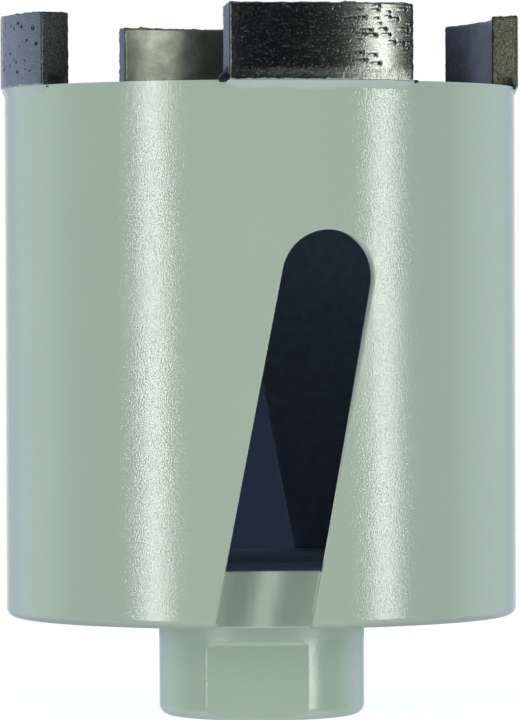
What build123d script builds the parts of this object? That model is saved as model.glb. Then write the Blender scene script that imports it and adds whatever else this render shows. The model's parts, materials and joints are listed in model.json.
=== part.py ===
"""Diamond core bit: a slotted barrel on a threaded hub, with four sintered segments.

Units are millimetres. +Z is the drilling axis, from the hub up to the cutting edge.
The origin is the centre of the hub's end face, on which the bit stands.
Angles around the axis are counted from +X towards +Y, in degrees.
"""

import os
from math import asin, degrees, radians, tan

from build123d import *

# ---- Barrel ---------------------------------------------------------------
BARREL_OUTER_DIAMETER = 67.0
BARREL_WALL = 1.5
BARREL_HEIGHT = 69.1  # from the flange's underside to the tube's upper end

# ---- Hub and flange, turned in one piece ----------------------------------
HUB_DIAMETER = 27.0
HUB_LENGTH = 13.1  # below the flange
HUB_END_RADIUS = 1.5
HUB_ROOT_CHAMFER = 0.5
FLANGE_THICKNESS = 7.2
THREAD_MAJOR_DIAMETER = 16.0  # M16 female thread; the bore is as wide as its root
THREAD_COUNTERSINK = 1.0

WRENCH_SIZE = 24.0  # opening of the wrench that fits the two flats
WRENCH_CLEARANCE = 0.4  # by which the flats lie closer together than that
WRENCH_SHOULDER_GAP = 2.9  # from the flats' shoulder up to the flange
WRENCH_SHOULDER_RADIUS = 0.6
WRENCH_FLAT_ANGLE = -92.7  # direction that the first flat faces

# ---- Weld between tube and flange -----------------------------------------
BASE_WELD_HEIGHT = 1.1
BASE_WELD_BEVEL = 1.1  # weld preparation on the flange's lower edge

# ---- Slots, milled through tube, weld and flange rim ----------------------
SLOT_COUNT = 2
SLOT_CUTTER_DIAMETER = 12.0
SLOT_LEAN = 11.0  # from the axis, on the tube's outer surface
SLOT_START_ANGLE = -89.7  # middle of the first slot at the flange's underside
SLOT_ARC_HEIGHT = 44.3  # centre of the round end, above the flange's underside
SLOT_DEPTH = 3.7  # from the tube's outer surface to the cutter's end

# ---- Diamond segments ------------------------------------------------------
SEGMENT_COUNT = 4
SEGMENT_LENGTH = 24.0  # between the parallel end faces
SEGMENT_THICKNESS = 3.3
SEGMENT_HEIGHT = 9.6
SEGMENT_OVERHANG = 0.5  # clearance that it cuts outside the tube
SEGMENT_START_ANGLE = -75.6  # middle of the first segment
SEGMENT_CORNER_CHAMFER = 0.5

SEGMENT_WELD_HEIGHT = 1.1
SEGMENT_WELD_BULGE = 0.06  # how far the bead's sloping face stands out of straight

# ---- Heights and radii that follow from these ------------------------------
underside = HUB_LENGTH
flange_top = underside + FLANGE_THICKNESS
barrel_bottom = underside + BASE_WELD_HEIGHT
barrel_top = underside + BARREL_HEIGHT
barrel_outer = BARREL_OUTER_DIAMETER / 2
barrel_inner = barrel_outer - BARREL_WALL
segment_outer = barrel_outer + SEGMENT_OVERHANG
segment_inner = segment_outer - SEGMENT_THICKNESS
hub_radius = HUB_DIAMETER / 2
thread_radius = THREAD_MAJOR_DIAMETER / 2
flat_distance = (WRENCH_SIZE - WRENCH_CLEARANCE) / 2  # from the axis


def radial_plane(angle, height=0.0):
    """A plane through the axis: its x points outwards at that angle, its y points up."""
    outward = Vector(1, 0, 0).rotate(Axis.Z, angle)
    return Plane(origin=(0, 0, height), x_dir=outward, z_dir=outward.cross(Vector(0, 0, 1)))


os.makedirs("parts", exist_ok=True)

# ---- Slot cutter: the space that the end mill sweeps -----------------------
# A helical channel with a round upper end. The mill's own axis is radial at each
# height, so the channel's floor is nearly flat and its sides are parallel. The
# helix begins below the underside, on the XZ plane.
slot_run_in = SLOT_CUTTER_DIAMETER
slot_turn_per_mm = degrees(tan(radians(SLOT_LEAN)) / barrel_outer)
slot_first_angle = SLOT_START_ANGLE - slot_turn_per_mm * slot_run_in
slot_floor = barrel_outer - SLOT_DEPTH
cutter_length = 2 * SLOT_DEPTH

with BuildPart() as slot_cutter:
    with BuildLine() as path:
        Helix(
            pitch=360 / slot_turn_per_mm,
            height=slot_run_in + SLOT_ARC_HEIGHT,
            radius=slot_floor + cutter_length / 2,
            center=(0, 0, underside - slot_run_in),
        )
    with BuildSketch(Plane(origin=path.line @ 0, x_dir=(1, 0, 0), z_dir=path.line % 0)):
        Rectangle(cutter_length, SLOT_CUTTER_DIAMETER)
    sweep(path=path.line, is_frenet=True)

    arc_centre = path.line @ 1
    outward = Vector(arc_centre.X, arc_centre.Y, 0).normalized()
    floor_centre = outward * slot_floor + Vector(0, 0, arc_centre.Z)
    with BuildSketch(Plane(origin=floor_centre, z_dir=outward)):
        Circle(SLOT_CUTTER_DIAMETER / 2)
    extrude(amount=cutter_length)


def mill_slots():
    """Takes every slot out of the piece that is being built."""
    with PolarLocations(0, SLOT_COUNT, start_angle=slot_first_angle):
        add(slot_cutter.part, mode=Mode.SUBTRACT)


# ---- Barrel: a tube with the slots milled through its wall -----------------
with BuildPart() as barrel:
    with BuildSketch(Plane.XY.offset(barrel_bottom)):
        Circle(barrel_outer)
        Circle(barrel_inner, mode=Mode.SUBTRACT)
    extrude(amount=barrel_top - barrel_bottom)
    mill_slots()

barrel.part.label = "barrel"
export_step(barrel.part, "parts/barrel.step")

# ---- Hub and flange: turned, then milled for the wrench and by the slots ---
with BuildPart() as hub_flange:
    with BuildSketch(Plane.XZ) as profile:
        with BuildLine():
            Polyline(
                (thread_radius, 0),
                (hub_radius, 0),
                (hub_radius, underside),
                (barrel_inner - BASE_WELD_BEVEL, underside),
                (barrel_inner, barrel_bottom),
                (barrel_inner, flange_top),
                (thread_radius, flange_top),
                close=True,
            )
        make_face()
        fillet(profile.vertices().sort_by_distance((hub_radius, 0))[0], HUB_END_RADIUS)
        chamfer(profile.vertices().sort_by_distance((hub_radius, underside))[0], HUB_ROOT_CHAMFER)
        chamfer(profile.vertices().group_by(Axis.X)[0], THREAD_COUNTERSINK)
    revolve(axis=Axis.Z)

    shoulder = underside - WRENCH_SHOULDER_GAP
    for angle in (WRENCH_FLAT_ANGLE, WRENCH_FLAT_ANGLE + 180):
        with BuildSketch(radial_plane(angle)) as flat_cut:
            with Locations((flat_distance, 0)):
                Rectangle(hub_radius, 2 * shoulder, align=(Align.MIN, Align.CENTER))
            shoulder_corner = flat_cut.vertices().sort_by_distance((flat_distance, shoulder))[0]
            fillet(shoulder_corner, WRENCH_SHOULDER_RADIUS)
        extrude(amount=hub_radius, both=True, mode=Mode.SUBTRACT)

    mill_slots()

hub_flange.part.label = "hub_flange"
export_step(hub_flange.part, "parts/hub_flange.step")

# ---- Base weld: fills the bevel around the flange, dressed round outside ---
with BuildPart() as base_weld:
    with BuildSketch(Plane.XZ) as profile:
        with BuildLine():
            Polyline(
                (barrel_outer, barrel_bottom),
                (barrel_inner, barrel_bottom),
                (barrel_inner - BASE_WELD_BEVEL, underside),
                (barrel_outer - BASE_WELD_HEIGHT, underside),
            )
            RadiusArc(
                (barrel_outer - BASE_WELD_HEIGHT, underside),
                (barrel_outer, barrel_bottom),
                -BASE_WELD_HEIGHT,
            )
        make_face()
    revolve(axis=Axis.Z)
    mill_slots()

base_weld.part.label = "base_weld"
export_step(base_weld.part, "parts/base_weld.step")

# ---- Segments and the bead under each --------------------------------------
for index in range(SEGMENT_COUNT):
    angle = SEGMENT_START_ANGLE + 360 * index / SEGMENT_COUNT
    seat = Plane.XY.offset(barrel_top).rotated((0, 0, angle))

    with BuildPart() as segment:
        with BuildSketch(seat):
            Circle(segment_outer)
            Circle(segment_inner, mode=Mode.SUBTRACT)
            Rectangle(segment_outer, SEGMENT_LENGTH, align=(Align.MIN, Align.CENTER), mode=Mode.INTERSECT)
        extrude(amount=SEGMENT_HEIGHT)
        upper_edges = segment.edges().group_by(Axis.Z)[-1]
        chamfer(upper_edges.filter_by(GeomType.LINE), SEGMENT_CORNER_CHAMFER)

    segment.part.label = f"segment_{index + 1}"
    export_step(segment.part, f"parts/segment_{index + 1}.step")

    half_span = degrees(asin(SEGMENT_LENGTH / 2 / barrel_outer))
    with BuildPart() as segment_weld:
        with BuildSketch(radial_plane(angle - half_span)):
            with BuildLine():
                low = (barrel_outer, barrel_top - SEGMENT_WELD_HEIGHT)
                high = (segment_outer, barrel_top)
                Polyline(low, (barrel_outer, barrel_top), high)
                SagittaArc(high, low, SEGMENT_WELD_BULGE)
            make_face()
        revolve(axis=Axis.Z, revolution_arc=2 * half_span)

    segment_weld.part.label = f"segment_weld_{index + 1}"
    export_step(segment_weld.part, f"parts/segment_weld_{index + 1}.step")
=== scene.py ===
"""The looks of a diamond core bit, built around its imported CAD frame.

Units are metres and +Z is the drilling axis. Angles around the axis are in degrees,
counted from +X towards +Y, so that -90 faces the camera.
"""

import itertools
import json
import math

import bmesh
import bpy
import numpy as np
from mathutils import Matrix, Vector


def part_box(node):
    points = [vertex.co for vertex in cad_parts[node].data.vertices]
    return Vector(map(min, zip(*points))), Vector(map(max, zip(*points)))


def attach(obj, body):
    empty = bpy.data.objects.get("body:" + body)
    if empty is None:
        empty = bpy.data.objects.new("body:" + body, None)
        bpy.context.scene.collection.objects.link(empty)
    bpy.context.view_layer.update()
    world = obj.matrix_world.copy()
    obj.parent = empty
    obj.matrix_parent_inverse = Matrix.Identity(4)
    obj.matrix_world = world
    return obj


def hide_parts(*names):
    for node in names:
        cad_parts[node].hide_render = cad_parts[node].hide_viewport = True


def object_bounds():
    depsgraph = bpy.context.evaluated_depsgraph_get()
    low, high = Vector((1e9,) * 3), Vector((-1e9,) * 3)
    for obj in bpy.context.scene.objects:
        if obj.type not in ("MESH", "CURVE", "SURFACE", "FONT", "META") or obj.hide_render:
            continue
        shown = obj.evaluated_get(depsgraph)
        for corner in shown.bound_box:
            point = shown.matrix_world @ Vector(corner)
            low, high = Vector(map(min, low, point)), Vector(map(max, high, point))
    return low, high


MM = 0.001

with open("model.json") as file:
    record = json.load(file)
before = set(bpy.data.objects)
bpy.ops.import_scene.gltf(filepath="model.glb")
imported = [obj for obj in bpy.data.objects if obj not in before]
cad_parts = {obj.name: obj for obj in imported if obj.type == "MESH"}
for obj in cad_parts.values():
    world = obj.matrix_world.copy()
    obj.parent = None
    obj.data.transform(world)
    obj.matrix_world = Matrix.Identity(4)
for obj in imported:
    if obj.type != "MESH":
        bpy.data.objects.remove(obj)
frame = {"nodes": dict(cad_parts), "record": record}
cad_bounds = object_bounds()
nodes = frame["nodes"]

# ---- Sizes read from the frame ---------------------------------------------
barrel_low, barrel_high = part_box("barrel")
hub_low, hub_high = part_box("hub_flange")
TUBE_RADIUS = (barrel_high.x - barrel_low.x) / 2
TUBE_INNER_RADIUS = (hub_high.x - hub_low.x) / 2
FLANGE_TOP = hub_high.z
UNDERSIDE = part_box("base_weld")[0].z
WELD_TOP = barrel_low.z
RIM_HEIGHT = barrel_high.z
SEGMENT_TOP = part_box("segment_1")[1].z
BODY_RADIUS = (cad_bounds[1].x - cad_bounds[0].x) / 2
HUB_RADIUS = 13.5 * MM  # below the flange
mounts = {mount["name"]: mount for mount in frame["record"]["mounts"]}
THREAD_RADIUS = mounts["spindle_thread"]["dims"]["r_mm"] * MM

# ---- View of the photograph ------------------------------------------------
IMAGE_WIDTH, IMAGE_HEIGHT = 520, 720
SENSOR_WIDTH = 36.0  # in millimetres
FOCAL_PIXELS = 5470
CAMERA_DISTANCE = 0.720
CAMERA_HEIGHT = 0.05573
HORIZON_ROW = 290.5
AXIS_COLUMN = 260.25
CAMERA_ROLL = 0.23


# ---- Small helpers for node materials --------------------------------------
def put(socket, value):
    """Sets a socket: links it if the value is a socket, else stores the constant."""
    if isinstance(value, bpy.types.NodeSocket):
        socket.id_data.links.new(value, socket)
    else:
        socket.default_value = value


def add(tree, kind, inputs=None, **settings):
    """Adds a node, with its settings and its inputs by name or number."""
    node = tree.nodes.new(kind)
    for name, value in settings.items():
        setattr(node, name, value)
    for name, value in (inputs or {}).items():
        put(node.inputs[name], value)
    return node


def new_material(name):
    material = bpy.data.materials.new(name)
    material.use_nodes = True
    material.node_tree.nodes.clear()
    return material, material.node_tree


def finish_material(tree, shader):
    output = add(tree, "ShaderNodeOutputMaterial")
    put(output.inputs["Surface"], shader.outputs[0])


def math_node(tree, operation, *values):
    node = add(tree, "ShaderNodeMath", operation=operation)
    for index, value in enumerate(values):
        put(node.inputs[index], value)
    return node.outputs[0]


def product(tree, *values):
    """All the values multiplied together."""
    result = values[0]
    for value in values[1:]:
        result = math_node(tree, "MULTIPLY", result, value)
    return result


def smooth_step(tree, value, low, high):
    """0 below low, 1 above high, smooth in between; high may be the lower one."""
    node = add(
        tree,
        "ShaderNodeMapRange",
        {"Value": value, "From Min": low, "From Max": high},
        interpolation_type="SMOOTHSTEP",
    )
    return node.outputs["Result"]


# A mix node has sockets for every type of data: its first input, and its output, of each.
MIX_SOCKETS = {"FLOAT": (2, 0), "VECTOR": (4, 1), "RGBA": (6, 2)}


def mix(tree, data_type, factor, first, second):
    """The first where the factor is 0, and the second where it is 1."""
    node = add(tree, "ShaderNodeMix", data_type=data_type)
    first_input, output = MIX_SOCKETS[data_type]
    put(node.inputs[0], factor)
    put(node.inputs[first_input], first)
    put(node.inputs[first_input + 1], second)
    return node.outputs[output]


def mix_colour(tree, factor, first, second):
    return mix(tree, "RGBA", factor, first, second)


def mix_number(tree, factor, first, second):
    return mix(tree, "FLOAT", factor, first, second)


def noise(tree, vector, scale, detail=2.0, roughness=0.5):
    node = add(
        tree,
        "ShaderNodeTexNoise",
        {"Vector": vector, "Scale": scale, "Detail": detail, "Roughness": roughness},
    )
    return node.outputs["Fac"]


def bump(tree, height, distance, strength=1.0, normal=None):
    inputs = {"Height": height, "Strength": strength, "Distance": distance}
    if normal is not None:
        inputs["Normal"] = normal
    return add(tree, "ShaderNodeBump", inputs).outputs[0]


def times_colour(tree, factor, colour):
    """The colour with its brightness multiplied by a number from the nodes."""
    node = add(tree, "ShaderNodeVectorMath", operation="SCALE")
    put(node.inputs[0], colour)
    put(node.inputs["Scale"], factor)
    return node.outputs[0]


def object_point(tree):
    return add(tree, "ShaderNodeTexCoord").outputs["Object"]


def object_coordinates(tree):
    """The point's place in the frame, its distance from the axis and its height."""
    point = object_point(tree)
    flat = add(tree, "ShaderNodeVectorMath", {0: point, 1: (1, 1, 0)}, operation="MULTIPLY")
    radius = add(tree, "ShaderNodeVectorMath", {0: flat.outputs[0]}, operation="LENGTH")
    height = add(tree, "ShaderNodeSeparateXYZ", {0: point}).outputs["Z"]
    return point, radius.outputs["Value"], height


def angle_around(tree, point):
    """The point's angle around the axis, in radians."""
    parts = add(tree, "ShaderNodeSeparateXYZ", {0: point})
    return math_node(tree, "ARCTAN2", parts.outputs["Y"], parts.outputs["X"])


def unrolled_coordinates(tree, along, up=1.0):
    """Arc length around the axis times `along`, distance from the axis, height times `up`."""
    point, radius, height = object_coordinates(tree)
    arc = product(tree, angle_around(tree, point), along * TUBE_RADIUS)
    rise = product(tree, height, up)
    return add(tree, "ShaderNodeCombineXYZ", {0: arc, 1: radius, 2: rise}).outputs[0]


# ---- Materials ---------------------------------------------------------------
PAINT = (0.416, 0.520, 0.419, 1)
PAINT_CLOUD = (0.400, 0.501, 0.407, 1)
# Darker and bluer than the paint: painted shade on the beads' downward slopes.
SHADED_PAINT_ON_WELD = (0.335, 0.425, 0.385, 1)
# Darker paint on the base weld: painted shade of its underside.
SHADED_PAINT_ON_SEAM = (0.320, 0.400, 0.325, 1)
# Painted shade on the floor of the slots' pockets.
PAINTED_POCKET_SHADE = (0.250, 0.305, 0.262, 1)
BARE_STEEL = (0.130, 0.184, 0.244, 1)
GRIT_AND_EDGE_SHADE = (0.018, 0.020, 0.020, 1)
SLAG = (0.006, 0.008, 0.014, 1)
SLAG_SHEEN = (0.012, 0.015, 0.024, 1)
CUT_STEEL = (0.30, 0.31, 0.32, 1)
CUT_STEEL_CLOUD = (0.22, 0.23, 0.24, 1)

PAINT_ROUGHNESS = 0.12
DUSTY_ROUGHNESS = 0.40  # where the paint is dull, between the wrench flats and the flange
PEEL_SCALE = 5600.0
PEEL_HEIGHT = 0.023 * MM
PEEL_HEIGHT_ON_WELD = 0.008 * MM
EDGE_RADIUS = 0.45 * MM  # by which the shading rounds the edges

# The slot's middle, on both sides of the axis, as in the CAD.
SLOT_LEAN = 11.0
SLOT_START_ANGLE = -89.7


def paint_shader(tree, colour, point, peel_height, normal, roughness=PAINT_ROUGHNESS):
    """Satin paint with orange peel in its gloss, its grains taller than wide."""
    stretched = add(tree, "ShaderNodeVectorMath", {0: point, 1: (1, 1, 0.6)}, operation="MULTIPLY")
    peel = noise(tree, stretched.outputs[0], PEEL_SCALE, detail=1.0)
    return add(
        tree,
        "ShaderNodeBsdfPrincipled",
        {
            "Base Color": colour,
            "Roughness": roughness,
            "IOR": 1.5,
            "Normal": bump(tree, peel, peel_height, normal=normal),
        },
    )


def rounded_normal(tree, height):
    """Rounds the edges, but not where one piece runs on into the next."""
    rounded = add(tree, "ShaderNodeBevel", {"Radius": EDGE_RADIUS}, samples=8).outputs[0]
    plain = add(tree, "ShaderNodeNewGeometry").outputs["Normal"]
    near, clear = 0.5 * MM, 0.8 * MM  # from a joint: plain up to near, rounded from clear
    off_joint = math_node(tree, "ABSOLUTE", math_node(tree, "SUBTRACT", height, WELD_TOP))
    clear_of_joint = smooth_step(tree, off_joint, near, clear)
    clear_of_rim = smooth_step(tree, height, RIM_HEIGHT - near, RIM_HEIGHT - clear)
    share = product(tree, clear_of_joint, clear_of_rim)
    return mix(tree, "VECTOR", share, plain, rounded)


def pocket_shade(tree, point, radius, height):
    """Painted shade on the floor of the pockets that the slots end in, for the walls' shadows.

    It is least in a lit stripe along the middle, most to the left of it, and to the right
    less so towards the wall.
    """
    # Shares of painted shade: in the lit stripe and left of it, then right of it and by the wall.
    in_stripe, at_left = 0.08, 0.62
    more_at_right, more_near_wall = 0.46, 0.30
    turn_per_rise = math.tan(math.radians(SLOT_LEAN)) / TUBE_RADIUS
    at_start = math.radians(SLOT_START_ANGLE) - turn_per_rise * UNDERSIDE
    middle = math_node(tree, "MULTIPLY_ADD", height, turn_per_rise, at_start)
    off_middle = math_node(tree, "SUBTRACT", angle_around(tree, point), middle)
    across = product(tree, math_node(tree, "TANGENT", off_middle), radius)
    off_stripe = smooth_step(tree, across, -0.5 * MM, -2.0 * MM)
    left = mix_number(tree, off_stripe, in_stripe, at_left)
    near_wall = smooth_step(tree, across, 2.0 * MM, 5.5 * MM)
    more = mix_number(tree, near_wall, more_at_right, more_near_wall)
    right = product(tree, smooth_step(tree, across, 0.2 * MM, 1.6 * MM), more)
    in_slot = smooth_step(tree, math_node(tree, "ABSOLUTE", across), 6.8 * MM, 4.2 * MM)
    inside = TUBE_INNER_RADIUS
    behind_wall = smooth_step(tree, radius, inside - 0.1 * MM, inside - 0.4 * MM)
    off_axis = smooth_step(tree, radius, 0.85 * inside, 0.87 * inside)
    above = smooth_step(tree, height, UNDERSIDE + 0.05 * MM, UNDERSIDE + 0.3 * MM)
    return product(tree, math_node(tree, "ADD", left, right), in_slot, behind_wall, off_axis, above)


def bare_mask(tree, radius, height, at_back):
    """Where no paint has reached: inside the tube, down to the flange, and in the bore.

    At the back slot the bare dark steel reaches further over the walls and edge, as painted shade.
    """
    # Painted shade: at the back the bare dark steel reaches over the slot's walls and edge.
    reach_at_front, shade_further_at_back = 0.25 * MM, 1.22 * MM
    reach = math_node(
        tree, "MULTIPLY_ADD", at_back, shade_further_at_back, TUBE_INNER_RADIUS + reach_at_front
    )
    past_reach = math_node(tree, "SUBTRACT", radius, reach)
    inside_wall = smooth_step(tree, past_reach, 0.02 * MM, -0.02 * MM)
    over_edge = math_node(tree, "MULTIPLY_ADD", at_back, 0.15 * MM, height)
    above_flange = smooth_step(tree, over_edge, FLANGE_TOP - 0.05 * MM, FLANGE_TOP - 0.01 * MM)
    under_rim = smooth_step(tree, height, RIM_HEIGHT - 1.0 * MM, RIM_HEIGHT - 7.0 * MM)
    in_tube = product(tree, inside_wall, above_flange, under_rim)
    in_bore = smooth_step(tree, radius, THREAD_RADIUS + 1.3 * MM, THREAD_RADIUS + 1.1 * MM)
    return math_node(tree, "MAXIMUM", in_tube, in_bore)


def bare_steel_shader(tree, point, radius, height, at_back):
    """Dull dark steel, with painted shade at the back, on slot walls and on the flange by one slot.
    """
    grain = noise(tree, point, 900.0, detail=4.0)
    inside = TUBE_INNER_RADIUS
    on_slot_wall = smooth_step(tree, radius, inside + 0.1 * MM, inside + 0.3 * MM)
    parts = add(tree, "ShaderNodeSeparateXYZ", {0: point})
    beside_slot = math_node(tree, "MULTIPLY_ADD", parts.outputs["X"], 2.0, parts.outputs["Y"])
    shade_beside_slot = product(
        tree,
        smooth_step(tree, beside_slot, 28 * MM, 38 * MM),
        smooth_step(tree, height, FLANGE_TOP + 0.4 * MM, FLANGE_TOP + 0.1 * MM),
    )
    # Painted shade: darker at the back, on the slots' walls and on the flange beside one slot.
    shade = product(
        tree,
        mix_number(tree, grain, 0.7, 1.3),
        mix_number(tree, at_back, 1.0, 0.90),
        mix_number(tree, on_slot_wall, 1.0, 0.3),
        mix_number(tree, shade_beside_slot, 1.0, 0.66),
    )
    return add(
        tree,
        "ShaderNodeBsdfPrincipled",
        {
            "Base Color": times_colour(tree, shade, BARE_STEEL[:3]),
            "Roughness": 0.70,
            "Specular IOR Level": 0.0,
            "Normal": bump(tree, grain, 0.05 * MM, strength=0.4),
        },
    )


def paint_material():
    """The paint of tube, weld and hub, and the bare steel where none has reached."""
    material, tree = new_material("paint")
    point, radius, height = object_coordinates(tree)
    cloud = noise(tree, point, 60.0, detail=3.0)
    colour = mix_colour(tree, cloud, PAINT, PAINT_CLOUD)
    streaks = noise(tree, unrolled_coordinates(tree, 1.0, 0.12), 2600.0)
    # Painted shade in the pockets, where their walls would shade the floor.
    pocket_shade_share = pocket_shade(tree, point, radius, height)
    pocket_shadow = product(tree, pocket_shade_share, mix_number(tree, streaks, 0.7, 1.3))
    colour = mix_colour(tree, pocket_shadow, colour, PAINTED_POCKET_SHADE)
    inside = TUBE_INNER_RADIUS
    # Painted shade: darker paint on the base weld, below the tube, for the shade on its underside.
    shaded_seam = product(
        tree,
        smooth_step(tree, height, WELD_TOP, WELD_TOP - 0.6 * MM),
        smooth_step(tree, radius, inside, inside + 0.5 * MM),
    )
    colour = mix_colour(tree, shaded_seam, colour, SHADED_PAINT_ON_SEAM)
    under_flange = smooth_step(tree, height, UNDERSIDE - 3.6 * MM, UNDERSIDE - 2.0 * MM)
    on_hub = smooth_step(tree, radius, HUB_RADIUS + 0.6 * MM, HUB_RADIUS + 0.3 * MM)
    dusty = product(tree, under_flange, on_hub)
    roughness = mix_number(tree, dusty, PAINT_ROUGHNESS, DUSTY_ROUGHNESS)
    normal = rounded_normal(tree, height)
    paint = paint_shader(tree, colour, point, PEEL_HEIGHT, normal, roughness)

    # Behind the axis, the bare steel is darker and reaches further: painted shade.
    y = add(tree, "ShaderNodeSeparateXYZ", {0: point}).outputs["Y"]
    at_back = smooth_step(tree, y, 0.0, 5 * MM)
    bare = bare_mask(tree, radius, height, at_back)
    steel = bare_steel_shader(tree, point, radius, height, at_back)
    surface = add(
        tree,
        "ShaderNodeMixShader",
        {0: bare, 1: paint.outputs[0], 2: steel.outputs[0]},
    )
    finish_material(tree, surface)
    return material


def weld_material():
    """The same paint, smoother over a bead, darker and a little bluer there as painted shade."""
    material, tree = new_material("paint_on_weld")
    point = object_point(tree)
    cloud = noise(tree, point, 300.0, detail=3.0)
    colour = mix_colour(tree, cloud, SHADED_PAINT_ON_WELD, PAINT)
    ripple = noise(tree, unrolled_coordinates(tree, 0.5), 900.0)
    normal = bump(tree, ripple, 0.05 * MM)
    finish_material(tree, paint_shader(tree, colour, point, PEEL_HEIGHT_ON_WELD, normal))
    return material


def sintered_material(name, outer_colour, inner_colour, rough_colour):
    """Sintered metal: the mesh says where it is granular, ground, inside, and gritty."""
    material, tree = new_material(name)
    point, radius, height = object_coordinates(tree)

    def stored(layer):
        return add(tree, "ShaderNodeAttribute", attribute_name=layer).outputs["Fac"]

    granular, ground, inner = stored("granular"), stored("ground"), stored("inner")
    speckle = noise(tree, point, 6500.0, roughness=0.6)
    scratch = noise(tree, unrolled_coordinates(tree, 0.05), 7000.0, roughness=0.6)
    cloud = noise(tree, point, 380.0, detail=4.0, roughness=0.55)
    mottle = smooth_step(tree, cloud, 0.30, 0.70)
    colour = mix_colour(tree, ground, (*rough_colour, 1), (*outer_colour, 1))
    colour = mix_colour(tree, inner, colour, (*inner_colour, 1))
    mottled = times_colour(tree, mix_number(tree, inner, 0.88, 0.60), colour)
    colour = mix_colour(tree, mottle, colour, mottled)
    off_mean = math_node(tree, "SUBTRACT", speckle, 0.5)
    contrast = mix_number(tree, inner, mix_number(tree, granular, 1.2, 3.6), 0.25)
    shade = math_node(tree, "MULTIPLY_ADD", off_mean, contrast, 1.0)
    off_mean = math_node(tree, "SUBTRACT", scratch, 0.5)
    contrast = mix_number(tree, inner, 1.0, 0.15)
    shade = math_node(tree, "MULTIPLY_ADD", off_mean, contrast, shade)
    shade = math_node(tree, "MAXIMUM", shade, 0.1)
    colour = times_colour(tree, shade, colour)
    # Grit, pits and craters share this dark colour with the painted shade on the upright edges.
    colour = mix_colour(tree, stored("grit"), colour, GRIT_AND_EDGE_SHADE)

    ragged = noise(tree, point, 1100.0)
    paint_line = math_node(tree, "MULTIPLY_ADD", ragged, 0.5 * MM, RIM_HEIGHT - 0.12 * MM)
    above_line = math_node(tree, "SUBTRACT", height, paint_line)
    painted = product(
        tree,
        smooth_step(tree, above_line, 0.08 * MM, -0.08 * MM),
        smooth_step(tree, radius, TUBE_RADIUS + 0.2 * MM, TUBE_RADIUS + 0.3 * MM),
    )
    # The paint on the segment's foot takes the bead's colour, painted shade included.
    colour = mix_colour(tree, painted, colour, SHADED_PAINT_ON_WELD)

    scratched = bump(tree, scratch, 0.016 * MM)
    mounds = product(tree, smooth_step(tree, speckle, 0.64, 0.78), 0.35)
    grain_height = mix_number(tree, granular, mounds, speckle)
    roughness = mix_number(tree, inner, mix_number(tree, ground, 0.40, 0.25), 0.33)
    shader = add(
        tree,
        "ShaderNodeBsdfPrincipled",
        {
            "Base Color": colour,
            "Metallic": math_node(tree, "SUBTRACT", 1.0, painted),
            "Roughness": roughness,
            "Normal": bump(tree, grain_height, 0.075 * MM, normal=scratched),
        },
    )
    finish_material(tree, shader)
    return material


def slag_material():
    material, tree = new_material("slag")
    ripple = noise(tree, object_point(tree), 1500.0, detail=3.0)
    shader = add(
        tree,
        "ShaderNodeBsdfPrincipled",
        {
            "Base Color": mix_colour(tree, ripple, SLAG, SLAG_SHEEN),
            "Roughness": 0.12,
            "Specular IOR Level": 0.15,
            "Normal": bump(tree, ripple, 0.02 * MM),
        },
    )
    finish_material(tree, shader)
    return material


def thread_material():
    material, tree = new_material("cut_thread")
    ring = noise(tree, unrolled_coordinates(tree, 0.04), 5000.0)
    cloud = noise(tree, object_point(tree), 500.0, detail=3.0)
    shader = add(
        tree,
        "ShaderNodeBsdfPrincipled",
        {
            "Base Color": mix_colour(tree, cloud, CUT_STEEL, CUT_STEEL_CLOUD),
            "Metallic": 1.0,
            "Roughness": 0.36,
            "Normal": bump(tree, ring, 0.02 * MM),
        },
    )
    finish_material(tree, shader)
    return material


# ---- Meshes -------------------------------------------------------------------
NOISE_TABLE = 4096
NOISE_PRIMES = np.array((73856093, 19349663, 83492791))


def smooth_noise(points, cell, seed):
    """Smooth noise from -1 to 1 on a random lattice with that cell size."""
    table = np.random.default_rng(seed).uniform(-1.0, 1.0, NOISE_TABLE)
    scaled = points / cell
    corner = np.floor(scaled).astype(np.int64)
    part = scaled - corner
    part = part * part * (3 - 2 * part)
    total = np.zeros(len(points))
    for step in itertools.product((0, 1), repeat=3):
        key = np.bitwise_xor.reduce((corner + step) * NOISE_PRIMES, axis=1) % NOISE_TABLE
        weight = np.where(np.array(step) == 1, part, 1 - part).prod(axis=1)
        total += weight * table[key]
    return total


def ramp(value, low, high):
    """0 below low, 1 above high, smooth in between."""
    part = np.clip((value - low) / (high - low), 0, 1)
    return part * part * (3 - 2 * part)


def box_lattice(counts):
    """The skin of a box lattice: whole-number coordinates, and the quads between them."""
    axes = [np.arange(count + 1) for count in counts]
    grid = np.stack(np.meshgrid(*axes, indexing="ij"), axis=-1).reshape(-1, 3)
    on_skin = ((grid == 0) | (grid == np.array(counts))).any(axis=1)
    number = np.full(len(grid), -1)
    number[on_skin] = np.arange(on_skin.sum())
    number = number.reshape([count + 1 for count in counts])
    quads = []
    for axis in range(3):
        for end in (0, counts[axis]):
            sheet = number.take(end, axis=axis)
            ring = [sheet[:-1, :-1], sheet[1:, :-1], sheet[1:, 1:], sheet[:-1, 1:]]
            faces_inward = (end == 0) != (axis == 1)
            if faces_inward:
                ring.reverse()
            quads.append(np.stack(ring, axis=-1).reshape(-1, 4))
    return grid[on_skin], np.concatenate(quads)


def new_piece(name, points, faces, material):
    """A smooth-shaded mesh piece that belongs to the one rigid body."""
    mesh = bpy.data.meshes.new(name)
    mesh.from_pydata([tuple(point) for point in points], [], [tuple(face) for face in faces])
    mesh.polygons.foreach_set("use_smooth", [True] * len(mesh.polygons))
    mesh.materials.append(material)
    piece = bpy.data.objects.new(name, mesh)
    bpy.context.scene.collection.objects.link(piece)
    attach(piece, "root")
    return piece


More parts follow.
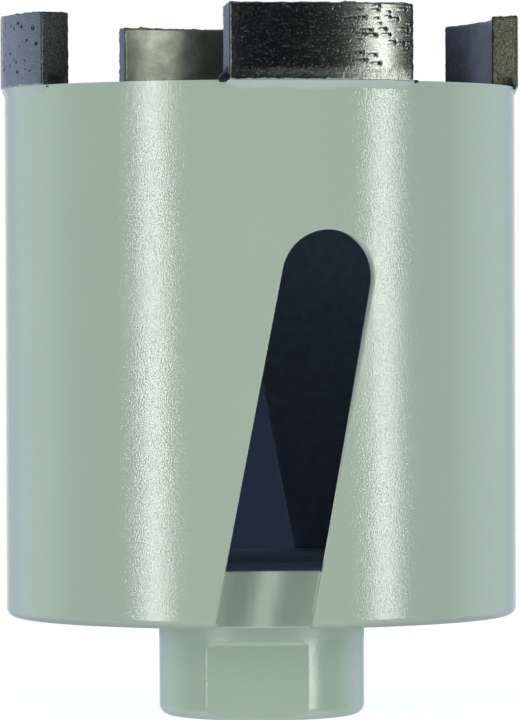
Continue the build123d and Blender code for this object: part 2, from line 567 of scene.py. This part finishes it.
def store(piece, name, values):
    """Keeps one number for each vertex, for the material to read."""
    layer = piece.data.attributes.new(name, "FLOAT", "POINT")
    layer.data.foreach_set("value", np.ascontiguousarray(values, dtype=np.float32))


# ---- Diamond segments -----------------------------------------------------------
SEGMENT_LENGTH = 24.0 * MM
SEGMENT_THICKNESS = 3.3 * MM
SEGMENT_HEIGHT = SEGMENT_TOP - RIM_HEIGHT
LATTICE_CELL = 0.10 * MM
EDGE_ROUNDING = 0.25 * MM
FOOT_HEIGHT = 1.7 * MM  # of the granular strip above the weld
GRAINS_ON_TOP = 22
MARGIN_BEHIND = 0.8 * MM  # from the trailing end, where no grain or pit starts
MARGIN_AHEAD = 0.35 * MM

# Heights and depths around one grain of grit, as shares of its size.
GRAIN_HEIGHT = 0.26
GROOVE_DEPTH = 0.16
TAIL_HEIGHT = 0.16
SIDE_GROOVE_DEPTH = 0.14

# Colours of the ground faces, the inner faces and the rough ends, by segment.
GROUND = (0.162, 0.178, 0.160)
DULL_GROUND = (0.160, 0.182, 0.190)
OLIVE = (0.236, 0.258, 0.212)
BLUED = (0.064, 0.082, 0.098)
SILVERY = (0.285, 0.330, 0.365)
GREYED = (0.148, 0.180, 0.178)
RUSTY = (0.110, 0.118, 0.085)
SOOTY = (0.086, 0.102, 0.098)


class Form:
    """How one segment differs from the plain one; lengths in millimetres.

    The bit turns towards higher angles, so the leading end is the one at the higher angle.
    """

    rise_behind = 0.0  # of the top, above the nominal height, at the trailing end
    rise_ahead = 0.0  # the same at the leading end
    trim = 0.0  # by which it is shorter at the leading end
    fall = 0.0  # of the top, towards the axis
    crown = 0.0  # by which the middle of its outer face stands proud of its ends
    grains = 0  # of grit with tails, on the outer face
    pits = 0  # on the outer face
    grain_outside = 0.0  # how granular that face is, from 0 to 1
    edge_shade = 0.0  # painted shade on its upright edges, from 0 to 1

    def __init__(self, outer_colour, inner_colour, rough_colour, **differences):
        self.colours = (outer_colour, inner_colour, rough_colour)  # rough: the ends and top
        for name, value in differences.items():
            setattr(self, name, value)


SEGMENT_FORMS = {
    "segment_1": Form(
        GROUND,
        OLIVE,
        SILVERY,
        rise_behind=0.20,
        rise_ahead=0.20,
        fall=0.45,
        crown=0.25,
        grains=80,
        grain_outside=0.10,
        edge_shade=0.7,
    ),
    "segment_2": Form(
        GROUND,
        BLUED,
        RUSTY,
        rise_behind=-0.20,
        rise_ahead=-0.50,
        trim=0.9,
        fall=0.15,
        grains=60,
        pits=6,
        grain_outside=0.08,
        edge_shade=0.5,
    ),
    "segment_3": Form(
        GROUND,
        OLIVE,
        GREYED,
        rise_behind=-0.25,
        rise_ahead=-0.25,
        trim=0.4,
        grains=60,
        pits=6,
        grain_outside=0.08,
        edge_shade=0.5,
    ),
    "segment_4": Form(
        DULL_GROUND,
        OLIVE,
        SOOTY,
        rise_behind=-0.20,
        rise_ahead=-0.20,
        fall=0.15,
        pits=44,
        grain_outside=0.04,
    ),
}


def grit_relief(along, across, sites):
    """Grains of grit that stand out, a groove before each and a tail of metal behind it."""
    relief = np.zeros(len(along))
    grit = np.zeros(len(along))
    for at_along, at_across, size, tail_length in sites:
        ahead = (along - at_along) / size
        aside = (across - at_across) / size
        distance = np.hypot(ahead, aside)
        grain = 1 - ramp(distance, 0.6, 1.1)
        groove = np.exp(-(((distance - 1.45) / 0.35) ** 2)) * ramp(ahead, -0.3, 0.6)
        behind = -(along - at_along) / tail_length
        fade = ramp(behind, 0.0, 0.06) * (1 - ramp(behind, 0.45, 1.0))
        tail = fade * (1 - ramp(np.abs(aside), 0.65, 1.0))
        side_groove = fade * np.exp(-(((np.abs(aside) - 1.1) / 0.3) ** 2))
        height = GRAIN_HEIGHT * size * grain - GROOVE_DEPTH * size * groove
        relief += height + TAIL_HEIGHT * size * tail - SIDE_GROOVE_DEPTH * size * side_groove
        grit = np.maximum(grit, np.maximum(grain, 0.8 * groove))
        grit = np.maximum(grit, 0.45 * side_groove)
    return relief, grit


def pit_relief(along, across, sites):
    """Small dark pits that grains have left, taller than wide."""
    relief = np.zeros(len(along))
    grit = np.zeros(len(along))
    for at_along, at_across, wide, tall in sites:
        distance = np.hypot((along - at_along) / wide, (across - at_across) / tall)
        pit = 1 - ramp(distance, 0.5, 1.1)
        relief -= 0.5 * wide * pit
        grit = np.maximum(grit, pit)
    return relief, grit


def scatter(random, count, low, high, spacing):
    """Random places in a rectangle, kept apart by the spacing, and more so end to end."""
    places = []
    while len(places) < count:
        place = random.uniform(low, high)
        if all(np.hypot(*((0.45, 1) * (place - other))) > spacing for other in places):
            places.append(place)
    return places


def rounded_box(flat, size):
    """The box with its edges rounded, but not at its foot; with normals, and what is foot."""
    core = np.clip(flat, EDGE_ROUNDING, size - EDGE_ROUNDING)
    core[:, 2] = np.clip(flat[:, 2], 0, size[2] - EDGE_ROUNDING)
    offset = flat - core
    length = np.linalg.norm(offset, axis=1)
    at_foot = length == 0
    offset[at_foot] = (0, 0, -1)
    length[at_foot] = 1
    normal = offset / length[:, None]
    shape = np.where(at_foot[:, None], flat, core + EDGE_ROUNDING * normal)
    return shape, normal, at_foot


def marks_outside(random, form, size, along, height):
    """Relief and grit of the outer face: grains with tails, then pits."""
    low = (-size[1] / 2 + MARGIN_BEHIND, FOOT_HEIGHT + 0.2 * MM)
    high = (size[1] / 2 - MARGIN_AHEAD, size[2] - 0.35 * MM)
    grains = [
        (
            at[0],
            at[1],
            random.uniform(0.15, 0.23) * (0.8 + at[0] / size[1] * 0.6) * MM,
            random.uniform(0.6, 1.7) * MM,
        )
        for at in scatter(random, form.grains, low, high, 0.50 * MM)
    ]
    relief_grains, grit_grains = grit_relief(along, height, grains)
    pits = [
        (at[0], at[1], random.uniform(0.13, 0.38) * MM, random.uniform(0.12, 0.34) * MM)
        for at in scatter(random, form.pits, low, high, 0.4 * MM)
    ]
    relief_pits, grit_pits = pit_relief(along, height, pits)
    return relief_grains + relief_pits, np.maximum(grit_grains, grit_pits)


def marks_on_top(random, size, side, seed):
    """Relief and grit of the top: grains with tails, on an uneven face."""
    low = (-size[1] / 2 + MARGIN_BEHIND, 0.3 * MM)
    high = (size[1] / 2 - MARGIN_AHEAD, size[0] - 0.3 * MM)
    grains = [
        (at[0], at[1], random.uniform(0.2, 0.32) * MM, random.uniform(0.6, 1.6) * MM)
        for at in scatter(random, GRAINS_ON_TOP, low, high, 0.55 * MM)
    ]
    relief, grit = grit_relief(side[:, 1], side[:, 0], grains)
    relief = relief + 0.05 * MM * smooth_noise(side, 0.8 * MM, seed + 5)
    relief = relief + 0.10 * MM * smooth_noise(side * (0.3, 1, 0), 1.5 * MM, seed + 6)
    return relief, grit


def segment_relief(form, size, shape, normal, at_foot, seed):
    """How far each point of the skin stands out, and the layers that the material reads."""
    random = np.random.default_rng(seed)
    depth, along, height = shape.T
    along = along - size[1] / 2
    side = np.stack((depth, along, height), axis=1)
    outside = ramp(normal[:, 0], 0.5, 0.9)
    inside = ramp(-normal[:, 0], 0.5, 0.9)
    on_top = ramp(normal[:, 2], 0.5, 0.9)
    on_end = ramp(np.abs(normal[:, 1]), 0.4, 0.8)
    relief_outside, grit_outside = marks_outside(random, form, size, along, height)
    relief_top, grit_top = marks_on_top(random, size, side, seed)

    waver = smooth_noise(side, 1.1 * MM, seed + 3)
    foot_line = FOOT_HEIGHT + 0.25 * MM * waver
    above_foot = ramp(height, foot_line - 0.5 * MM, foot_line + 0.3 * MM)
    in_foot = (1 - above_foot) * 3 * form.grain_outside
    near_end = 1 - ramp(size[1] / 2 - np.abs(along), 0.2 * MM, 1.0 * MM)
    granular_edge = form.grain_outside * near_end
    rough_part = np.clip(in_foot + on_end + 0.8 * on_top + granular_edge, 0, 1)
    fine = smooth_noise(side, 0.24 * MM, seed + 1)
    coarse = smooth_noise(side, 0.6 * MM, seed + 2)
    grainy = (0.003 + 0.022 * rough_part) * MM * fine + (0.002 + 0.015 * rough_part) * MM * coarse
    crater_place = np.hypot((depth - 0.45 * size[0]) / (1.0 * MM), (height - 0.7 * MM) / (0.7 * MM))
    crater = on_end * (1 - ramp(crater_place + 0.4 * waver, 0.1, 1.4))
    by_the_bead = ramp(normal[:, 0], 0.2, 0.6) * (height < 0.5 * MM)
    at_corner = on_end * (1 - ramp(np.minimum(depth, size[0] - depth), 0.1 * MM, 0.6 * MM))

    relief = outside * relief_outside + on_top * relief_top + grainy - 0.25 * MM * crater
    relief = relief + 0.05 * MM * coarse * in_foot * by_the_bead
    relief = relief + 0.07 * MM * at_corner * smooth_noise(side, 0.45 * MM, seed + 4)
    relief = np.where(at_foot, 0, relief)

    to_side = np.minimum(depth, size[0] - depth)
    to_end = size[1] / 2 - np.abs(along)
    upright_edge = 1 - ramp(np.maximum(to_side, to_end), 0.15 * MM, 0.4 * MM)
    grit = outside * grit_outside + on_top * grit_top + 0.6 * crater
    # Painted shade darkens the upright edges, over their rounded highlight.
    grit = np.maximum(grit, form.edge_shade * upright_edge)
    granular = np.maximum(rough_part, form.grain_outside * outside)
    layers = {
        "granular": granular * (1 - 0.7 * inside),
        "ground": outside,
        "inner": inside,
        "grit": np.clip(grit, 0, 1),
    }
    return relief, layers


def on_the_rim(form, size, shape, angle):
    """Bends the skin around the tube, with its height, length and crown as the form says."""
    depth, along, height = shape.T
    along = along - size[1] / 2
    share = along / size[1] + 0.5
    along = along - form.trim * MM * share
    rise = (form.rise_behind * (1 - share) + form.rise_ahead * share) * MM
    rise = rise - form.fall * MM * (1 - depth / size[0])
    height = height + rise * height / size[2]

    crown = form.crown * MM * (1 - (2 * along / size[1]) ** 4) * ramp(height, 0.0, 2 * MM)
    reach = BODY_RADIUS - size[0] + depth + crown * depth / size[0]
    out = np.sqrt(np.maximum(reach**2 - along**2, 0))
    turn = math.radians(angle)
    outward = np.array((math.cos(turn), math.sin(turn), 0))
    ahead = np.array((-math.sin(turn), math.cos(turn), 0))
    points = out[:, None] * outward + along[:, None] * ahead
    points[:, 2] = RIM_HEIGHT + height
    return points


def segment_piece(name, angle, seed):
    """One segment as a dense skin, made flat: depth outwards, then length ahead, then height."""
    form = SEGMENT_FORMS[name]
    size = np.array((SEGMENT_THICKNESS, SEGMENT_LENGTH, SEGMENT_HEIGHT))
    counts = [round(side / LATTICE_CELL) for side in size]
    grid, quads = box_lattice(counts)
    shape, normal, at_foot = rounded_box(grid / counts * size, size)
    relief, layers = segment_relief(form, size, shape, normal, at_foot, seed)
    points = on_the_rim(form, size, shape + normal * relief[:, None], angle)

    material = sintered_material("sintered_metal_" + name[-1], *form.colours)
    piece = new_piece(name + "_ground", points, quads, material)
    for layer, values in layers.items():
        store(piece, layer, values)
    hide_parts(name)


def segment_angle(name):
    """The direction from the axis to the middle of that CAD segment."""
    points = [vertex.co for vertex in nodes[name].data.vertices]
    middle = sum(points, Vector()) / len(points)
    return math.degrees(math.atan2(middle.y, middle.x))


# ---- Beads under the segments, slag drops at their ends, and the thread --------------
BEAD_HEIGHT = 1.2 * MM
BEAD_ROOT = 0.35 * MM
BEAD_COUNTS = (2, 220, 14)
BEAD_OVERRUN = 0.4 * MM  # past each end of the segment

# Half width and half height, in millimetres, of the drop behind and the drop ahead.
DROP_SIZES = {
    "segment_1": ((0.78, 0.56), (0.50, 0.24)),
    "segment_2": ((0.40, 0.34), (0.36, 0.30)),
    "segment_3": ((0.42, 0.30), (0.48, 0.36)),
    "segment_4": ((0.40, 0.42), (0.34, 0.14)),
}


def half_span():
    """Half the angle that a segment fills, seen from the axis."""
    return math.asin(SEGMENT_LENGTH / 2 / TUBE_RADIUS)


def bead_piece(name, angle, seed):
    """The painted bead under one segment: it runs out to nothing down the tube's wall."""
    grid, quads = box_lattice(BEAD_COUNTS)
    depth, share, rise = (grid / BEAD_COUNTS).T
    turn = (2 * share - 1) * (half_span() + BEAD_OVERRUN / TUBE_RADIUS)
    along = turn * TUBE_RADIUS
    at_end = 1 - ramp(half_span() * TUBE_RADIUS + BEAD_OVERRUN - np.abs(along), 0.0, 1.6 * MM)
    place = np.stack((along, 0 * along, 0 * along), axis=1)
    waver = smooth_noise(place, 1.7 * MM, seed) + 0.5 * smooth_noise(place, 0.7 * MM, seed + 1)
    reach = BEAD_HEIGHT * (1 + 0.10 * waver) * (1 - 0.55 * at_end)
    fall = 1 - rise
    place = np.stack((along, fall * BEAD_HEIGHT, 0 * along), axis=1)
    ripple = 0.012 * MM * smooth_noise(place, 0.5 * MM, seed + 2)
    full = (BODY_RADIUS - TUBE_RADIUS) * (1 - 0.6 * at_end)
    swell = full * (1 - fall) ** 1.35 + ripple * np.sin(math.pi * rise) - 0.02 * MM * fall
    radius = TUBE_RADIUS - BEAD_ROOT * (1 - depth) + swell * depth
    turn = turn + math.radians(angle)
    height = RIM_HEIGHT - 0.01 * MM - reach * fall
    points = np.stack((radius * np.cos(turn), radius * np.sin(turn), height), axis=1)
    piece = new_piece(name + "_run", points, quads, weld_material())
    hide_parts(name)


def slag_drops(angles):
    """Small frozen drops on the rim, one at each end of every segment."""
    random = np.random.default_rng(SLAG_SEED)
    cloud = bmesh.new()
    for name, angle in angles.items():
        for end, (wide, tall) in zip((-1, 1), DROP_SIZES[name]):
            first = len(cloud.verts)
            bmesh.ops.create_icosphere(cloud, subdivisions=5, radius=1.0)
            cloud.verts.ensure_lookup_table()
            drop = cloud.verts[first:]
            off_end = 0.75 * wide * MM / TUBE_RADIUS
            turn = math.radians(angle) + end * (half_span() + off_end)
            seat = Vector((math.cos(turn), math.sin(turn), 0)) * (TUBE_RADIUS - 0.15 * MM)
            seat.z = RIM_HEIGHT + (tall - 0.35) * MM
            directions = np.array([vertex.co for vertex in drop])
            lumps = smooth_noise(directions, 0.8, random.integers(1000))
            swell = 1 + 0.25 * lumps + 0.10 * smooth_noise(directions, 0.3, random.integers(1000))
            for vertex, factor in zip(drop, swell):
                across = vertex.co * factor
                vertex.co = seat + Vector((across.x * wide, across.y * wide, across.z * tall)) * MM
    mesh = bpy.data.meshes.new("slag_drops")
    cloud.to_mesh(mesh)
    cloud.free()
    points = [vertex.co.copy() for vertex in mesh.vertices]
    faces = [tuple(polygon.vertices) for polygon in mesh.polygons]
    bpy.data.meshes.remove(mesh)
    new_piece("slag_drops", points, faces, slag_material())


THREAD_PITCH = 2.0 * MM
THREAD_DEPTH = 1.08 * MM
THREAD_RUN_OUT = 1.1 * MM  # from the ridge's ends to the ends of the bore
# The ridge from its lower to its upper foot: across it in half pitches, and how high it is.
THREAD_PROFILE = [
    (-0.86, -0.02),
    (-0.80, 0.0),
    (-0.16, 1.0),
    (-0.10, 1.03),
    (0.10, 1.03),
    (0.16, 1.0),
    (0.80, 0.0),
    (0.86, -0.02),
]


def thread_ridge():
    """The ridge of the right-handed M16 thread, run out at both ends of the bore."""
    steps_per_turn = 96
    steps_to_full_height = steps_per_turn / 3
    low, high = THREAD_RUN_OUT, FLANGE_TOP - THREAD_RUN_OUT
    turns = (high - low) / THREAD_PITCH
    steps = round(turns * steps_per_turn)
    points = []
    for step in range(steps + 1):
        turn = 2 * math.pi * step / steps_per_turn
        run = min(step, steps - step) / steps_to_full_height
        grown = math.sin(min(run, 1) * math.pi / 2)
        for across, height in THREAD_PROFILE:
            rooted = 0.03 * MM * (height < 0)
            radius = THREAD_RADIUS - height * THREAD_DEPTH * grown * (height > 0) + rooted
            middle = low + THREAD_PITCH * step / steps_per_turn
            rise = middle + across * THREAD_PITCH / 2 * max(grown, 0.1)
            points.append((radius * math.cos(turn), radius * math.sin(turn), rise))
    ring = len(THREAD_PROFILE)
    faces = []
    for step, place in itertools.product(range(steps), range(ring)):
        here, there = step * ring + place, step * ring + (place + 1) % ring
        faces.append((here, there, there + ring, here + ring))
    faces.append(tuple(range(ring)))
    faces.append(tuple(reversed(range(steps * ring, steps * ring + ring))))
    piece = new_piece("hub_thread", points, faces, thread_material())
    piece.data.set_sharp_from_angle(angle=math.radians(35))


# Seeds of the random draws. Segments and beads count theirs up in steps of ten.
SEGMENT_SEED, BEAD_SEED, SLAG_SEED, SEED_STEP = 100, 200, 41, 10


def dress():
    """Paints the CAD nodes and adds the pieces that stand for the others."""
    paint = paint_material()
    for node in nodes.values():
        node.data.materials.clear()
        node.data.materials.append(paint)
    angles = {name: segment_angle(name) for name in SEGMENT_FORMS}
    for index, (name, angle) in enumerate(angles.items()):
        step = SEED_STEP * index
        segment_piece(name, angle, SEGMENT_SEED + step)
        bead_piece(name.replace("segment", "segment_weld"), angle, BEAD_SEED + step)
    slag_drops(angles)
    thread_ridge()


# ---- Stage: floor, dark card behind the slots, world, lights and camera -------------
FLOOR_HALF = 4.0
FLOOR_PALE = (0.86, 0.86, 0.86, 1)
FLOOR_PALER = (0.88, 0.88, 0.88, 1)
FLOOR_GLOW = 0.66  # to the camera, which with the lamps' light makes white

CARD_AWAY = 0.40
CARD_LEFT, CARD_RIGHT, CARD_TOP = -0.010, 0.012, 0.040
CARD_BLUE = (0.0155, 0.0235, 0.044, 1)

WHITE = (1, 1, 1, 1)
AHEAD_DARK = (0.005, 0.011, 0.026, 1)  # ahead: towards the camera
BESIDE_PALE = (0.75, 0.82, 1.06, 1)
BEHIND_PALE = (0.46, 0.53, 0.72, 1)
HIGH_AHEAD = (0.45, 0.45, 0.45, 1)
LOW_AHEAD = (1.16, 1.18, 1.24, 1)
STEEP_BEHIND = (0.30, 0.33, 0.42, 1)

BOX_DISTANCE = 0.45
BOX_LOW, BOX_HIGH = -0.09, 0.19
BOX_COLOUR = (1.0, 0.985, 0.95)


def stage_quad(name, corners, material):
    mesh = bpy.data.meshes.new(name)
    mesh.from_pydata(corners, [], [(0, 1, 2, 3)])
    mesh.materials.append(material)
    quad = bpy.data.objects.new(name, mesh)
    bpy.context.scene.collection.objects.link(quad)
    return quad


def make_floor():
    """A white sheet: it takes the object's shadow, and lets light up from below."""
    half = FLOOR_HALF
    corners = [(-half, -half, 0), (half, -half, 0), (half, half, 0), (-half, half, 0)]
    material, tree = new_material("floor_white")
    seen = add(tree, "ShaderNodeLightPath").outputs["Is Camera Ray"]
    grain = noise(tree, object_point(tree), 8.0)
    pale = mix_colour(tree, grain, FLOOR_PALE, FLOOR_PALER)
    board = add(tree, "ShaderNodeBsdfDiffuse", {"Color": pale})
    strength = product(tree, seen, FLOOR_GLOW)
    glow = add(tree, "ShaderNodeEmission", {"Color": WHITE, "Strength": strength})
    surface = add(tree, "ShaderNodeAddShader", {0: board.outputs[0], 1: glow.outputs[0]})
    finish_material(tree, surface)
    floor = stage_quad("floor", corners, material)
    floor.visible_diffuse = False
    floor.visible_glossy = False
    floor.visible_shadow = False


def make_card():
    """A dark blue card that shows only to the camera, from the front, through both slots."""
    corners = [
        (CARD_LEFT, CARD_AWAY, 0),
        (CARD_RIGHT, CARD_AWAY, 0),
        (CARD_RIGHT, CARD_AWAY, CARD_TOP),
        (CARD_LEFT, CARD_AWAY, CARD_TOP),
    ]
    material, tree = new_material("card_blue")
    seen = add(tree, "ShaderNodeLightPath").outputs["Is Camera Ray"]
    back = add(tree, "ShaderNodeNewGeometry").outputs["Backfacing"]
    shown = product(tree, seen, math_node(tree, "SUBTRACT", 1.0, back))
    clear = add(tree, "ShaderNodeBsdfTransparent")
    blue = add(tree, "ShaderNodeEmission", {"Color": CARD_BLUE, "Strength": 1.0})
    surface = add(tree, "ShaderNodeMixShader", {0: shown, 1: clear.outputs[0], 2: blue.outputs[0]})
    finish_material(tree, surface)
    stage_quad("card", corners, material)


def make_world():
    """A room that is dark ahead of the bit and pale beside and behind it.

    Light also comes from steeply above and below. The camera sees white all round, and
    mirrored rays see it straight behind the bit.
    """
    world = bpy.data.worlds.new("studio")
    bpy.context.scene.world = world
    world.use_nodes = True
    tree = world.node_tree
    tree.nodes.clear()
    direction = add(tree, "ShaderNodeTexCoord").outputs["Generated"]
    parts = add(tree, "ShaderNodeSeparateXYZ", {0: direction})
    backwards, upwards = parts.outputs["Y"], parts.outputs["Z"]
    beside = smooth_step(tree, backwards, 0.0, 0.40)
    behind = smooth_step(tree, backwards, 0.70, 0.90)
    around = mix_colour(tree, beside, AHEAD_DARK, BESIDE_PALE)
    around = mix_colour(tree, behind, around, BEHIND_PALE)
    steep = smooth_step(tree, math_node(tree, "ABSOLUTE", upwards), 0.28, 0.58)
    ahead = smooth_step(tree, backwards, 0.25, -0.15)
    below = smooth_step(tree, upwards, 0.1, -0.1)
    high_or_low = mix_colour(tree, below, HIGH_AHEAD, LOW_AHEAD)
    around = mix_colour(tree, steep, around, mix_colour(tree, ahead, STEEP_BEHIND, high_or_low))

    path = add(tree, "ShaderNodeLightPath").outputs
    mirrored = math_node(tree, "MAXIMUM", path["Is Glossy Ray"], path["Is Transmission Ray"])
    mirrored = product(tree, mirrored, smooth_step(tree, backwards, 0.94, 0.985))
    white = math_node(tree, "MAXIMUM", path["Is Camera Ray"], mirrored)
    colour = mix_colour(tree, white, around, WHITE)
    background = add(tree, "ShaderNodeBackground", {"Color": colour, "Strength": 1.0})
    output = add(tree, "ShaderNodeOutputWorld")
    put(output.inputs["Surface"], background.outputs[0])


def soft_box(name, azimuth, span, radiance):
    """A soft box that faces the axis, and reaches well above and below the bit.

    Azimuth 0 is the camera's side, and the span is the angle that its width fills.
    """
    light = bpy.data.lights.new(name, "AREA")
    light.shape = "RECTANGLE"
    light.size = 2 * BOX_DISTANCE * math.tan(math.radians(span / 2))
    light.size_y = BOX_HIGH - BOX_LOW
    light.energy = 4 * radiance * light.size * light.size_y
    light.color = BOX_COLOUR
    box = bpy.data.objects.new(name, light)
    bpy.context.scene.collection.objects.link(box)
    box.visible_camera = False
    turn = math.radians(azimuth)
    place = Vector((math.sin(turn), -math.cos(turn), 0)) * BOX_DISTANCE
    place.z = (BOX_LOW + BOX_HIGH) / 2
    box.location = place
    aim = Vector((0, 0, place.z)) - place
    box.rotation_euler = aim.to_track_quat("-Z", "Y").to_euler()


def make_camera():
    """A camera at the photograph's place, level but for a small pitch and roll."""
    data = bpy.data.cameras.new("camera")
    data.sensor_width = SENSOR_WIDTH
    data.lens = FOCAL_PIXELS / IMAGE_HEIGHT * data.sensor_width
    data.clip_start = 0.01
    data.clip_end = 20.0
    camera = bpy.data.objects.new("camera", data)
    bpy.context.scene.collection.objects.link(camera)
    pitch = math.atan((IMAGE_HEIGHT / 2 - HORIZON_ROW) / FOCAL_PIXELS)
    side = (IMAGE_WIDTH / 2 - AXIS_COLUMN) / FOCAL_PIXELS * CAMERA_DISTANCE
    camera.location = (side, -CAMERA_DISTANCE, CAMERA_HEIGHT)
    camera.rotation_mode = "XYZ"
    camera.rotation_euler = (math.pi / 2 - pitch, math.radians(CAMERA_ROLL), 0)
    bpy.context.scene.camera = camera


dress()
make_floor()
make_card()
make_world()
soft_box("left_box", azimuth=-47.0, span=11.0, radiance=9.4)
soft_box("right_box", azimuth=55.0, span=10.0, radiance=9.6)
make_camera()
bpy.context.scene.view_settings.view_transform = "Standard"
